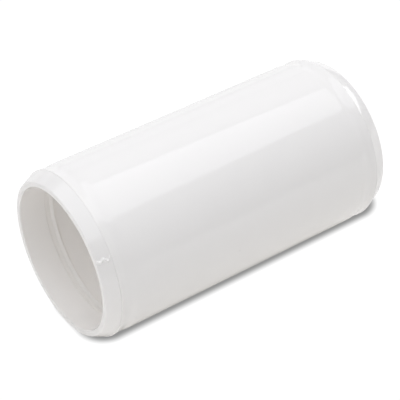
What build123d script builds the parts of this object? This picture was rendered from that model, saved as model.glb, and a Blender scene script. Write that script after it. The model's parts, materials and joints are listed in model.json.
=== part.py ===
from build123d import *
import math
import os

# Straight push fit coupling that joins two 21.5 mm overflow pipes. Sizes are in millimetres.
#
# The pipes' common axis is X, the origin is on it half way between the mouths, and +Z is up.
# Every piece is a ring around X, so each is drawn as a half section, with x along the axis and
# y as the radius, and revolved. Sections are drawn for the +X end and mirrored for the -X end.

# ---- driving dimensions ----
overall_length = 49.0
body_diameter = 25.4
pipe_diameter = 21.5
pipe_gap = 0.15  # radial play between a pipe and its socket
nose_length = 2.1  # axial length of the tapered nose on each end ring
rim_radius = 11.7  # outside of the flat rim that the nose tapers down to
seal_width = 1.4  # along the axis
seal_depth = 4.2  # from the mouth to the seal's near face
# How far the lip stands inside the pipe's outside radius. A real soft lip bites 0.3 to 0.5.
seal_lip_bite = 0.05
stop_width = 2.4  # the central rib that both pipes butt against
stop_radius = 9.6  # leaves the rib clear of the pipes' own bore

# ---- fits between the pieces ----
spigot_gap = 0.05  # radial play between an end ring's spigot and its seat in the body
bead_height = 0.2  # snap bead around the spigot
bead_top = 0.2  # flat top of the bead
bead_ramp = 0.4  # slope that leads the bead in
bead_setback = 1.0  # from the body's end face to the bead's steep side
bead_play = 0.05  # axial play of the bead in its groove

# ---- small rounds ----
mouth_round = 0.15
rim_round = 0.2
shoulder_round = 0.1
inner_edge = 0.05
stop_root = 0.3
stop_edge = 0.35
spigot_lead = 0.2

# ---- derived sizes ----
half_length = overall_length / 2
body_radius = body_diameter / 2
pipe_radius = pipe_diameter / 2
socket_radius = pipe_radius + pipe_gap
body_half = half_length - nose_length
seal_outer = half_length - seal_depth
seal_inner = seal_outer - seal_width
wall = body_radius - socket_radius
seat_radius = socket_radius + wall / 2
spigot_radius = seat_radius - spigot_gap
bead_at = body_half - bead_setback
stop_half = stop_width / 2

# The seal's inside: a recessed shoulder, a band level with the socket, then a lip.
seal_recess = socket_radius + 0.2
seal_band = socket_radius + 0.05
seal_lip = pipe_radius - seal_lip_bite
band_start = seal_outer - 0.35
band_end = seal_outer - 1.0
lip_tip = seal_outer - 1.2
lip_heel = seal_inner + 0.06


def circles_at(piece, x, radius):
    """The circular edges of this radius whose centres are x from the middle, at either end."""
    circles = piece.edges().filter_by(GeomType.CIRCLE)
    return circles.filter_by(
        lambda e: abs(abs(e.arc_center.X) - x) < 0.01 and abs(e.radius - radius) < 0.01
    )


def mirrored(piece):
    """The same ring at the -X end."""
    return mirror(piece.part, about=Plane.YZ, mode=Mode.PRIVATE)


# ---- coupling body: the outer tube, with a seat at each end and the pipe stop inside ----
with BuildPart() as coupling_body:
    with BuildSketch(Plane.XY):
        with BuildLine():
            groove_side = bead_at + bead_play
            groove_far = bead_at - bead_top - bead_play
            Polyline(
                (0, stop_radius),
                (stop_half, stop_radius),
                (stop_half, socket_radius),
                (seal_inner, socket_radius),
                (seal_inner, seat_radius),
                (groove_far - bead_ramp, seat_radius),
                (groove_far, seat_radius + bead_height),
                (groove_side, seat_radius + bead_height),
                (groove_side, seat_radius),
                (body_half, seat_radius),
                (body_half, body_radius),
                (0, body_radius),
                close=True,
            )
        make_face()
        mirror(about=Plane.YZ)
    revolve(axis=Axis.X)

    fillet(circles_at(coupling_body, stop_half, socket_radius), stop_root)
    chamfer(circles_at(coupling_body, stop_half, stop_radius), stop_edge)
    chamfer(circles_at(coupling_body, seal_inner, socket_radius), inner_edge)
    fillet(circles_at(coupling_body, body_half, body_radius), shoulder_round)

# ---- end ring: tapered nose outside, spigot with a snap bead inside the body's seat ----
with BuildPart() as end_ring_right:
    with BuildSketch(Plane.XY):
        with BuildLine():
            Polyline(
                (half_length, socket_radius),
                (half_length, rim_radius),
                (body_half, body_radius),
                (body_half, spigot_radius),
                (bead_at, spigot_radius),
                (bead_at, spigot_radius + bead_height),
                (bead_at - bead_top, spigot_radius + bead_height),
                (bead_at - bead_top - bead_ramp, spigot_radius),
                (seal_outer + spigot_lead, spigot_radius),
                (seal_outer, spigot_radius - spigot_lead),
                (seal_outer, socket_radius),
                close=True,
            )
        make_face()
    revolve(axis=Axis.X)

    fillet(circles_at(end_ring_right, half_length, socket_radius), mouth_round)
    fillet(circles_at(end_ring_right, half_length, rim_radius), rim_round)
    fillet(circles_at(end_ring_right, body_half, body_radius), shoulder_round)
    chamfer(circles_at(end_ring_right, seal_outer, socket_radius), inner_edge)

# ---- sealing ring: fills the seat between the end ring and the body's shoulder ----
with BuildPart() as sealing_ring_right:
    with BuildSketch(Plane.XY):
        with BuildLine():
            Polyline(
                (lip_heel, seal_recess),
                (seal_inner, seal_recess),
                (seal_inner, seat_radius),
                (seal_outer, seat_radius),
                (seal_outer, seal_recess),
                (band_start, seal_band),
                (band_end, seal_band),
                (lip_tip, seal_lip),
            )
            # the lip's rounded back
            ThreePointArc(
                (lip_tip, seal_lip),
                (lip_tip - 0.1, seal_lip + 0.08),
                (lip_heel, seal_recess),
            )
        make_face()
    revolve(axis=Axis.X)

end_ring_left = mirrored(end_ring_right)
sealing_ring_left = mirrored(sealing_ring_right)

# ---- write one file per piece ----
pieces = {
    "coupling_body": coupling_body.part,
    "end_ring_right": end_ring_right.part,
    "end_ring_left": end_ring_left,
    "sealing_ring_right": sealing_ring_right.part,
    "sealing_ring_left": sealing_ring_left,
}
os.makedirs("parts", exist_ok=True)
for name, solid in pieces.items():
    solid.label = name
    export_step(solid, f"parts/{name}.step")
    box = solid.bounding_box()
    print(f"{name}: x {box.min.X:.2f} to {box.max.X:.2f}, volume {solid.volume:.0f} mm3")

pipe_travel = half_length - stop_half
lip_angle = math.degrees(math.atan2(seal_band - seal_lip, band_end - lip_tip))
print(f"a pipe goes in {pipe_travel:.1f} mm; the lip slopes at {lip_angle:.0f} degrees")
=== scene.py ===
import json
import math

import bmesh
import bpy
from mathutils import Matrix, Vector

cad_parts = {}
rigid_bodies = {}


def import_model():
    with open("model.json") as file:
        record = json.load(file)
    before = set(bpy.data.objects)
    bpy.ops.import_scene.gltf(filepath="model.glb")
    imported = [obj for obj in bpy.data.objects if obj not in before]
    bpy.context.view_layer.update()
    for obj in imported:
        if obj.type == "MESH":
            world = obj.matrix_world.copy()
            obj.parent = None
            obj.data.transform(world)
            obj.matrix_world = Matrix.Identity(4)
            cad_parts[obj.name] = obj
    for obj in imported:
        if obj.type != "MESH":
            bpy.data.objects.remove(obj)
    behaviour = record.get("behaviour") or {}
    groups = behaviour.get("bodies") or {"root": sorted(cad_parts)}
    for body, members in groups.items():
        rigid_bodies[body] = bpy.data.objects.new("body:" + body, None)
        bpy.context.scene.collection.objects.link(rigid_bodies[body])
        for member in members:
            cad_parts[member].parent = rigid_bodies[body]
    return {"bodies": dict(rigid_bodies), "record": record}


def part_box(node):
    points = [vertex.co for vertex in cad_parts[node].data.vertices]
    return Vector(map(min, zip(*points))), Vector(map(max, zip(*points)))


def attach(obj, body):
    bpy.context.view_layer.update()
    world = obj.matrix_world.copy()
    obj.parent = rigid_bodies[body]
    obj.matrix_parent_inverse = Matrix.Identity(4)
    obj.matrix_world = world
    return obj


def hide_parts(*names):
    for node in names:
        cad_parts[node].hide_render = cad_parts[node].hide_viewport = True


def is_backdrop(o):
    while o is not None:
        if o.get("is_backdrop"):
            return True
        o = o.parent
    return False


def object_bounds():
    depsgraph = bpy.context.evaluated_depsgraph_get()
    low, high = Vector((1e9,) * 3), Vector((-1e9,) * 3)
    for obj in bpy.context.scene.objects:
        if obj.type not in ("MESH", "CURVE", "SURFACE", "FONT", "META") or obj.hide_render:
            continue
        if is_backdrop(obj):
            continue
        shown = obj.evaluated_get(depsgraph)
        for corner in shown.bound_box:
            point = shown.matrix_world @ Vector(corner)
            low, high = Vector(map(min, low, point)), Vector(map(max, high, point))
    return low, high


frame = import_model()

# Looks for a straight push fit pipe coupling. Everything is in metres. The pipes' axis is X and
# every piece is a ring around it, so a point on a surface is (x, radius, angle round the axis).
# Angles are in degrees: 90 is the top, 180 the side towards the camera and 270 the floor.

MM = 0.001
TURN = 360

# ---- sizes read from the frame ----
low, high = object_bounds()
BODY = next(iter(frame["bodies"]))
half_length = high.x
body_radius = high.z
floor_height = low.z
body_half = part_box("coupling_body")[1].x
seal_low, seal_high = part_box("sealing_ring_right")
seal_inner = seal_low.x
seal_outer = seal_high.x
seat_radius = seal_high.z
sockets = [m for m in frame["record"]["mounts"] if m["kind"] == "bore"]
socket_radius = sockets[0]["dims"]["r_mm"] * MM

# ---- sizes that the frame doesn't state ----
rim_radius = 11.7 * MM
stop_half = 1.2 * MM
stop_radius = 9.6 * MM
spigot_radius = seat_radius - 0.05 * MM
bead_height = 0.2 * MM
bead_top = 0.2 * MM
bead_ramp = 0.4 * MM
bead_at = body_half - 1.0 * MM
bead_play = 0.05 * MM
seal_recess = socket_radius + 0.2 * MM
seal_band = socket_radius + 0.05 * MM
seal_lip = socket_radius - 0.2 * MM

# ---- small rounds ----
mouth_round = 0.15 * MM
rim_round = 0.2 * MM
shoulder_round = 0.06 * MM
inner_edge = 0.05 * MM
stop_root = 0.3 * MM
stop_edge = 0.35 * MM
spigot_lead = 0.2 * MM
seal_round = 0.1 * MM
recess_round = 0.08 * MM
lip_round = 0.07 * MM


# ---- meshes ----
ROUND_STEPS = 6
TURN_STEPS = 360


def rounded(points):
    """A closed outline with its corners rounded. Each point is (x, radius, corner round)."""
    outline = []
    for i, (x, radius, corner) in enumerate(points):
        here = Vector((x, radius))
        if not corner:
            outline.append(here)
            continue
        before = (Vector(points[i - 1][:2]) - here).normalized()
        after = (Vector(points[(i + 1) % len(points)][:2]) - here).normalized()
        half = before.angle(after) / 2
        centre = here + (before + after).normalized() * corner / math.sin(half)
        start = (here + before * corner / math.tan(half) - centre).normalized()
        end = (here + after * corner / math.tan(half) - centre).normalized()
        for k in range(ROUND_STEPS + 1):
            outline.append(centre + corner * start.slerp(end, k / ROUND_STEPS))
    return outline


def divided(outline, longest, shaped):
    """The same outline with no run longer than this where shaped(its middle) is true."""
    runs = []
    for here, after in zip(outline, outline[1:] + outline[:1]):
        parts = 1
        if shaped((here + after) / 2):
            parts = max(1, math.ceil((after - here).length / longest))
        runs += [here.lerp(after, k / parts) for k in range(parts)]
    return runs


def even_turn():
    """Angles evenly spaced round the axis."""
    return [TURN * k / TURN_STEPS for k in range(TURN_STEPS)]


def linked(name, data):
    """A new object in the scene that shows this mesh, light or camera."""
    thing = bpy.data.objects.new(name, data)
    bpy.context.scene.collection.objects.link(thing)
    return thing


def lathe(name, outline, angles, lift=None):
    """A ring made by turning the outline round X. lift(x, radius, angle) raises its surface."""
    made = bmesh.new()
    rings = []
    for angle in angles:
        turn = math.radians(angle)
        ring = []
        for x, radius in outline:
            r = radius + (lift(x, radius, angle) if lift else 0)
            ring.append(made.verts.new((x, r * math.cos(turn), r * math.sin(turn))))
        rings.append(ring)
    for one, other in zip(rings, rings[1:] + rings[:1]):
        for k in range(len(outline)):
            after = (k + 1) % len(outline)
            made.faces.new((one[k], one[after], other[after], other[k]))
    bmesh.ops.recalc_face_normals(made, faces=made.faces)
    for face in made.faces:
        face.smooth = True
    mesh = bpy.data.meshes.new(name)
    made.to_mesh(mesh)
    made.free()
    piece = linked(name, mesh)
    normals = piece.modifiers.new("even_normals", "WEIGHTED_NORMAL")
    normals.keep_sharp = True
    return piece


def at_end(points, side):
    """The outline for the +X end as it is, or turned over for the -X end."""
    return [Vector((side * p.x, p.y)) for p in points]


def smooth(share):
    """A soft rise from 0 to 1."""
    share = min(max(share, 0), 1)
    return share * share * (3 - 2 * share)


# ---- coupling body ----
END_SINK = 0.12 * MM  # how far the outer skin sinks beside each end
SINK_FROM = 2.6 * MM
SINK_STEP = 0.13 * MM
SKIN_ABOVE = seat_radius + 0.3 * MM


def body_lift(x, radius, angle):
    """The outer skin sinks a little before each end, where the wall is thinner behind it."""
    from_end = body_half - abs(x)
    if radius < SKIN_ABOVE or from_end > SINK_FROM:
        return 0
    return -END_SINK * math.sin(math.pi * from_end / SINK_FROM) ** 2


def sinks(point):
    return point.y > SKIN_ABOVE and abs(point.x) > body_half - SINK_FROM


def make_body():
    groove_near = bead_at + bead_play
    groove_far = bead_at - bead_top - bead_play
    right = [
        (stop_half, stop_radius, stop_edge),
        (stop_half, socket_radius, stop_root),
        (seal_inner, socket_radius, inner_edge),
        (seal_inner, seat_radius, 0),
        (groove_far - bead_ramp, seat_radius, 0),
        (groove_far, seat_radius + bead_height, 0),
        (groove_near, seat_radius + bead_height, 0),
        (groove_near, seat_radius, 0),
        (body_half, seat_radius, inner_edge),
        (body_half, body_radius, shoulder_round),
        (body_half - SINK_FROM, body_radius, 0),
    ]
    left = [(-x, r, corner) for x, r, corner in reversed(right)]
    outline = divided(rounded(right + left), SINK_STEP, sinks)
    return lathe("body_shell", outline, even_turn(), body_lift)


# ---- end rings ----
NOSE_ABOVE = rim_radius - 0.05 * MM
NOSE_STEP = 0.05 * MM

# a wavy raised line left by the mould, running from the -X rim towards the shoulder
MARK_ANGLE = 146
MARK_START = 0.35 * MM  # from the mouth
MARK_END = 1.75 * MM
MARK_PAST = 0.3 * MM  # how far beyond its end it dies away
MARK_WAVE = 0.22 * MM
MARK_WAVES = 1.5
MARK_HEIGHT = 0.22 * MM
MARK_HALF = 0.18 * MM
MARK_SPAN = 4  # degrees on each side of it that are divided finely
MARK_TURN_STEP = 0.2
MARK_CLEAR = 4.4  # the even divisions keep this many degrees away

# the shoulder sits low from the mark round to the floor side
SHOULDER_DROP = 0.1 * MM
DROP_FROM = rim_radius + 0.45 * MM
DROP_FADE = 14
DROP_LAST = 330


def shoulder_drop(radius, angle):
    """The nose sits a little low below its mark, so the body's end shows as a fine edge."""
    share = max(0, radius - DROP_FROM) / (body_radius - DROP_FROM)
    turned = smooth((angle - MARK_ANGLE) / DROP_FADE) * smooth((DROP_LAST - angle) / DROP_FADE)
    return -SHOULDER_DROP * share * turned


def nose_lift(x, radius, angle):
    """The mould's mark and the low shoulder, on the -X nose."""
    along = x + half_length
    if radius < NOSE_ABOVE:
        return 0
    if along > MARK_END + MARK_PAST:
        return shoulder_drop(radius, angle)
    length = MARK_END - MARK_START
    share = (along - MARK_START) / length
    growth = (1 + share) / 2
    wave = MARK_WAVE * math.sin(MARK_WAVES * 2 * math.pi * share) * growth
    across = math.radians(angle - MARK_ANGLE) * radius - wave
    beyond = max(0, -share, share - 1) * length
    mark = MARK_HEIGHT * math.exp(-(across**2 + beyond**2) / MARK_HALF**2)
    return mark + shoulder_drop(radius, angle)


def on_nose(point):
    return point.y > NOSE_ABOVE and abs(point.x) > body_half


def marked_turn():
    """Angles evenly spaced round the axis, and closer together by the mark."""
    count = round(2 * MARK_SPAN / MARK_TURN_STEP)
    fine = [MARK_ANGLE - MARK_SPAN + MARK_TURN_STEP * k for k in range(count + 1)]
    coarse = [angle for angle in even_turn() if abs(angle - MARK_ANGLE) > MARK_CLEAR]
    return sorted(fine + coarse)


def make_end_ring(name, side, lift=None):
    """One end ring. With a lift, its nose is divided finely enough to show it."""
    outline = rounded(
        [
            (half_length, socket_radius, mouth_round),
            (half_length, rim_radius, rim_round),
            (body_half, body_radius, shoulder_round),
            (body_half, spigot_radius, 0),
            (bead_at, spigot_radius, 0),
            (bead_at, spigot_radius + bead_height, 0),
            (bead_at - bead_top, spigot_radius + bead_height, 0),
            (bead_at - bead_top - bead_ramp, spigot_radius, 0),
            (seal_outer, spigot_radius, spigot_lead),
            (seal_outer, socket_radius, inner_edge),
        ]
    )
    outline = at_end(outline, side)
    if lift is None:
        return lathe(name, outline, even_turn())
    return lathe(name, divided(outline, NOSE_STEP, on_nose), marked_turn(), lift)


# ---- sealing rings ----
# where the band and the lip stand, in shares of the seal's width from its outer face
BAND_START, BAND_END = 0.25, 0.55
LIP_START, LIP_END = 0.85, 0.93


def make_seal(name, side):
    width = seal_outer - seal_inner
    outline = rounded(
        [
            (seal_outer, seat_radius, seal_round),
            (seal_outer, seal_recess, recess_round),
            (seal_outer - BAND_START * width, seal_band, seal_round),
            (seal_outer - BAND_END * width, seal_band, seal_round),
            (seal_outer - LIP_START * width, seal_lip, lip_round),
            (seal_outer - LIP_END * width, seal_lip, inner_edge),
            (seal_inner, seal_recess, 0),
            (seal_inner, seat_radius, seal_round),
        ]
    )
    return lathe(name, at_end(outline, side), even_turn())


# ---- materials ----
WHITE = (0.952, 0.9325, 0.909)
WHITE_DRIFT = (0.985, 1.01)  # the colour is multiplied by a value that wanders between these
WHITE_ROUGHNESS = (0.055, 0.085)
WHITE_IOR = 1.5
SPECK_COLOUR = (0.45, 0.43, 0.40)
SPECK_FADE = (0.012, 0.03)  # distance from a speck's middle, in cells of the pattern
SPECK_SHARE = 0.2  # of its colour, at its middle
SEAL_COLOUR = (0.91, 0.89, 0.86)
SEAL_DRIFT = (0.975, 1.02)
SEAL_ROUGHNESS = 0.5


def node_tools(owner):
    """Short ways to add a node to a material or world, join two, and rescale a value."""
    tree = owner.node_tree

    def add(kind, **values):
        node = tree.nodes.new(kind)
        for key, value in values.items():
            if key in node.inputs:
                node.inputs[key].default_value = value
            else:
                setattr(node, key, value)
        return node

    def ramp(source, start, end, first=0.0, last=1.0, kind="LINEAR"):
        """Goes from first to last while source goes from start to end."""
        node = add("ShaderNodeMapRange", interpolation_type=kind, clamp=True)
        tree.links.new(source, node.inputs["Value"])
        node.inputs["From Min"].default_value = start
        node.inputs["From Max"].default_value = end
        node.inputs["To Min"].default_value = first
        node.inputs["To Max"].default_value = last
        return node.outputs["Result"]

    return add, tree.links.new, ramp


def new_material(name):
    material = bpy.data.materials.new(name)
    material.use_nodes = True
    return material, material.node_tree.nodes["Principled BSDF"]


def blank_material(name):
    material = bpy.data.materials.new(name)
    material.use_nodes = True
    material.node_tree.nodes.clear()
    return material


def plastic(name):
    """Gloss white moulded plastic: faint colour drift, tiny specks and a nearly flat skin."""
    material, shader = new_material(name)
    add, join, ramp = node_tools(material)
    place = add("ShaderNodeTexCoord").outputs["Object"]

    drift = add("ShaderNodeTexNoise", Scale=90.0, Detail=3.0)
    join(place, drift.inputs["Vector"])
    base = add("ShaderNodeMix", data_type="RGBA", blend_type="MULTIPLY")
    base.inputs["Factor"].default_value = 1.0
    base.inputs["A"].default_value = (*WHITE, 1)
    join(ramp(drift.outputs["Fac"], 0, 1, *WHITE_DRIFT), base.inputs["B"])

    cells = add("ShaderNodeTexVoronoi", Scale=160.0)
    join(place, cells.inputs["Vector"])
    spotted = add("ShaderNodeMix", data_type="RGBA")
    spotted.inputs["B"].default_value = (*SPECK_COLOUR, 1)
    speck = ramp(cells.outputs["Distance"], *SPECK_FADE, SPECK_SHARE, 0)
    join(speck, spotted.inputs["Factor"])
    join(base.outputs["Result"], spotted.inputs["A"])
    join(spotted.outputs["Result"], shader.inputs["Base Color"])

    gloss = add("ShaderNodeTexNoise", Scale=260.0, Detail=4.0)
    join(place, gloss.inputs["Vector"])
    join(ramp(gloss.outputs["Fac"], 0, 1, *WHITE_ROUGHNESS), shader.inputs["Roughness"])

    skin = add("ShaderNodeTexNoise", Scale=420.0, Detail=2.0)
    join(place, skin.inputs["Vector"])
    bump = add("ShaderNodeBump", Strength=0.06, Distance=0.05 * MM)
    join(skin.outputs["Fac"], bump.inputs["Height"])
    join(bump.outputs["Normal"], shader.inputs["Normal"])

    shader.inputs["IOR"].default_value = WHITE_IOR
    return material


def elastomer(name):
    """Soft satin rubber with a fine matt grain."""
    material, shader = new_material(name)
    add, join, ramp = node_tools(material)
    place = add("ShaderNodeTexCoord").outputs["Object"]
    grain = add("ShaderNodeTexNoise", Scale=2600.0, Detail=3.0)
    join(place, grain.inputs["Vector"])
    base = add("ShaderNodeMix", data_type="RGBA", blend_type="MULTIPLY")
    base.inputs["Factor"].default_value = 1.0
    base.inputs["A"].default_value = (*SEAL_COLOUR, 1)
    join(ramp(grain.outputs["Fac"], 0, 1, *SEAL_DRIFT), base.inputs["B"])
    join(base.outputs["Result"], shader.inputs["Base Color"])
    bump = add("ShaderNodeBump", Strength=0.2, Distance=0.03 * MM)
    join(grain.outputs["Fac"], bump.inputs["Height"])
    join(bump.outputs["Normal"], shader.inputs["Normal"])
    shader.inputs["Roughness"].default_value = SEAL_ROUGHNESS
    return material


# ---- the coupling ----
def finish_piece(piece, node, material):
    """Puts a piece on the model in place of its CAD node."""
    piece.data.materials.append(material)
    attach(piece, BODY)
    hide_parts(node)


white_plastic = plastic("white_plastic")
pale_rubber = elastomer("pale_rubber")
finish_piece(make_body(), "coupling_body", white_plastic)
finish_piece(make_end_ring("nose_left", -1, nose_lift), "end_ring_left", white_plastic)
finish_piece(make_end_ring("nose_right", 1), "end_ring_right", white_plastic)
finish_piece(make_seal("seal_left", -1), "sealing_ring_left", pale_rubber)
finish_piece(make_seal("seal_right", 1), "sealing_ring_right", pale_rubber)


# ---- floor ----
FLOOR_SIZE = 4.0
FLOOR_COLOUR = (1.0, 0.985, 0.955)
FLOOR_WHITE = 1.05  # how bright the floor and the world are to the camera

# the floor behind the coupling, as its gloss shows it
BEHIND_WHITE = 0.9
BEHIND_LEAST = 0.1  # how much of that shows in front of the coupling as well
BEHIND = (2.0 * MM, 16.0 * MM)  # from the axis towards the back, where it comes in

# the contact shadow, a soft rectangle with round corners that is drawn on the floor
SHADOW_DEPTH = 0.29  # how bright its middle is to the camera
SHADOW_LOW = (-23.65 * MM, -6.85 * MM, 0)
SHADOW_HIGH = (30.2 * MM, 6.85 * MM, 0)
SHADOW_CORNER = 4.2 * MM
SHADOW_SOFT = 0.85 * MM
FADE_ALONG = (23.0 * MM, 27.5 * MM)  # past the +X end it fades towards the back
FADE_BACK = (-5.3 * MM, 2.5 * MM)


def floor_material():
    """White with a drawn shadow to the camera, pale in the gloss, and lit to every other ray."""
    material = blank_material("floor_white")
    add, join, ramp = node_tools(material)

    def step(operation, source, value=(0, 0, 0)):
        node = add("ShaderNodeVectorMath", operation=operation)
        join(source, node.inputs[0])
        node.inputs[1].default_value = value
        return node.outputs["Value" if operation == "LENGTH" else "Vector"]

    def times(one, other):
        node = add("ShaderNodeMath", operation="MULTIPLY")
        join(one, node.inputs[0])
        join(other, node.inputs[1])
        return node.outputs["Value"]

    def mixed(share, one, other):
        node = add("ShaderNodeMixShader")
        join(share, node.inputs["Fac"])
        join(one, node.inputs[1])
        join(other, node.inputs[2])
        return node.outputs["Shader"]

    # distance from the middle of a box with round corners, on the floor's plane
    low_side, high_side = Vector(SHADOW_LOW), Vector(SHADOW_HIGH)
    reach = (high_side - low_side) / 2 - Vector((SHADOW_CORNER, SHADOW_CORNER, 0))
    place = add("ShaderNodeTexCoord").outputs["Object"]
    flat = step("MULTIPLY", place, (1, 1, 0))
    side = step("ABSOLUTE", step("SUBTRACT", flat, (low_side + high_side) / 2))
    away = step("LENGTH", step("MAXIMUM", step("SUBTRACT", side, reach)))
    edge = (SHADOW_CORNER - SHADOW_SOFT, SHADOW_CORNER + SHADOW_SOFT)
    shade = ramp(away, *edge, SHADOW_DEPTH, FLOOR_WHITE, "SMOOTHSTEP")

    across = add("ShaderNodeSeparateXYZ")
    join(place, across.inputs["Vector"])
    past_end = ramp(across.outputs["X"], *FADE_ALONG, kind="SMOOTHSTEP")
    to_back = ramp(across.outputs["Y"], *FADE_BACK, kind="SMOOTHSTEP")
    fade = add("ShaderNodeMapRange")
    join(times(past_end, to_back), fade.inputs["Value"])
    join(shade, fade.inputs["To Min"])
    fade.inputs["To Max"].default_value = FLOOR_WHITE
    seen = add("ShaderNodeEmission")
    join(fade.outputs["Result"], seen.inputs["Strength"])

    lit = add("ShaderNodeBsdfDiffuse", Color=(*FLOOR_COLOUR, 1))
    pale = add("ShaderNodeEmission", Strength=BEHIND_WHITE)
    path = add("ShaderNodeLightPath").outputs
    behind = ramp(across.outputs["Y"], *BEHIND, BEHIND_LEAST, kind="SMOOTHSTEP")
    plain = mixed(path["Is Camera Ray"], lit.outputs["BSDF"], seen.outputs["Emission"])
    surface = mixed(times(path["Is Glossy Ray"], behind), plain, pale.outputs["Emission"])
    join(surface, add("ShaderNodeOutputMaterial").inputs["Surface"])
    material.cycles.emission_sampling = "NONE"
    return material


def flat_sheet(name, corners, height, material):
    """A level sheet at this height, with its corners given as (x, y)."""
    mesh = bpy.data.meshes.new(name)
    mesh.from_pydata([(x, y, height) for x, y in corners], [], [tuple(range(len(corners)))])
    mesh.materials.append(material)
    return linked(name, mesh)


def make_floor():
    h = FLOOR_SIZE / 2
    corners = [(-h, -h), (h, -h), (h, h), (-h, h)]
    floor = flat_sheet("floor", corners, floor_height, floor_material())
    floor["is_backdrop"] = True


# ---- lights ----
COOL = (0.985, 0.996, 1.028)
WORLD = 0.215
PANEL_HEIGHT = 0.6

# each glowing panel's name, corners and radiance. The slanted edges between the near, front and
# rear ones show in the body's gloss as its long straight edges.
PANELS = [
    ("near_panel", [(-0.45, -1.2), (0.62, -1.2), (0.62, -0.150), (-0.45, -0.504)], 0.21),
    ("front_panel", [(-0.45, -0.504), (0.62, -0.150), (0.62, 0.049), (-0.45, 0.896)], 1.70),
    (
        "rear_panel",
        [(-0.45, 0.944), (0.62, 0.097), (1.20, -0.05), (1.20, 1.20), (-0.45, 1.20)],
        0.56,
    ),
    ("far_panel", [(-0.9, 1.20), (1.6, 1.20), (1.6, 3.0), (-0.9, 3.0)], 0.16),
]

# each softbox's name, place, size and radiance
SOFTBOXES = [
    ("fill_left", (-0.75, -0.35, 0.30), (0.7, 0.6), 0.86),
    ("fill_right", (0.95, 0.05, 0.50), (0.6, 0.5), 3.0),
    ("fill_back", (0.30, 0.90, 0.20), (1.2, 0.35), 0.55),
]


def make_panel(name, corners, radiance):
    """A flat glowing panel overhead, which shows in the gloss but not to the camera."""
    material = blank_material(name + "_glow")
    add, join, _ = node_tools(material)
    glow = add("ShaderNodeEmission", Color=(*COOL, 1), Strength=radiance)
    join(glow.outputs["Emission"], add("ShaderNodeOutputMaterial").inputs["Surface"])
    panel = flat_sheet(name, corners, PANEL_HEIGHT, material)
    panel.visible_camera = False
    panel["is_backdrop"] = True


def make_softbox(name, place, size, radiance):
    """A soft rectangular light that shines towards the coupling."""
    data = bpy.data.lights.new(name, "AREA")
    data.shape = "RECTANGLE"
    data.size, data.size_y = size
    data.energy = radiance * math.pi * size[0] * size[1]
    data.color = COOL
    light = linked(name, data)
    light.location = place
    light.rotation_euler = (-Vector(place)).to_track_quat("-Z", "Y").to_euler()
    light.visible_camera = False


def make_world():
    """A dim pale surround that the camera sees as white."""
    world = bpy.data.worlds.new("studio")
    world.use_nodes = True
    add, join, ramp = node_tools(world)
    background = world.node_tree.nodes["Background"]
    to_camera = add("ShaderNodeLightPath").outputs["Is Camera Ray"]
    join(ramp(to_camera, 0, 1, WORLD, FLOOR_WHITE), background.inputs["Strength"])
    background.inputs["Color"].default_value = (*COOL, 1)
    bpy.context.scene.world = world


# ---- camera ----
AZIMUTH = -35.5
ELEVATION = 40.28
DISTANCE = 18.49 * body_radius
LENS = 144.55
SENSOR_WIDTH = 36
SHIFT = (-0.00725, -0.01575)
CLIP_START = 0.01


def make_camera():
    data = bpy.data.cameras.new("camera")
    data.lens = LENS
    data.sensor_width = SENSOR_WIDTH
    data.shift_x, data.shift_y = SHIFT
    data.clip_start = CLIP_START
    camera = linked("camera", data)
    az, el = math.radians(AZIMUTH), math.radians(ELEVATION)
    toward = Vector((math.sin(az) * math.cos(el), -math.cos(az) * math.cos(el), math.sin(el)))
    camera.location = toward * DISTANCE
    camera.rotation_euler = (-toward).to_track_quat("-Z", "Y").to_euler()
    bpy.context.scene.camera = camera


make_floor()
for panel in PANELS:
    make_panel(*panel)
for softbox in SOFTBOXES:
    make_softbox(*softbox)
make_world()
make_camera()
bpy.context.scene.view_settings.view_transform = "Standard"
bpy.context.scene.cycles.diffuse_bounces = 8

low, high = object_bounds()
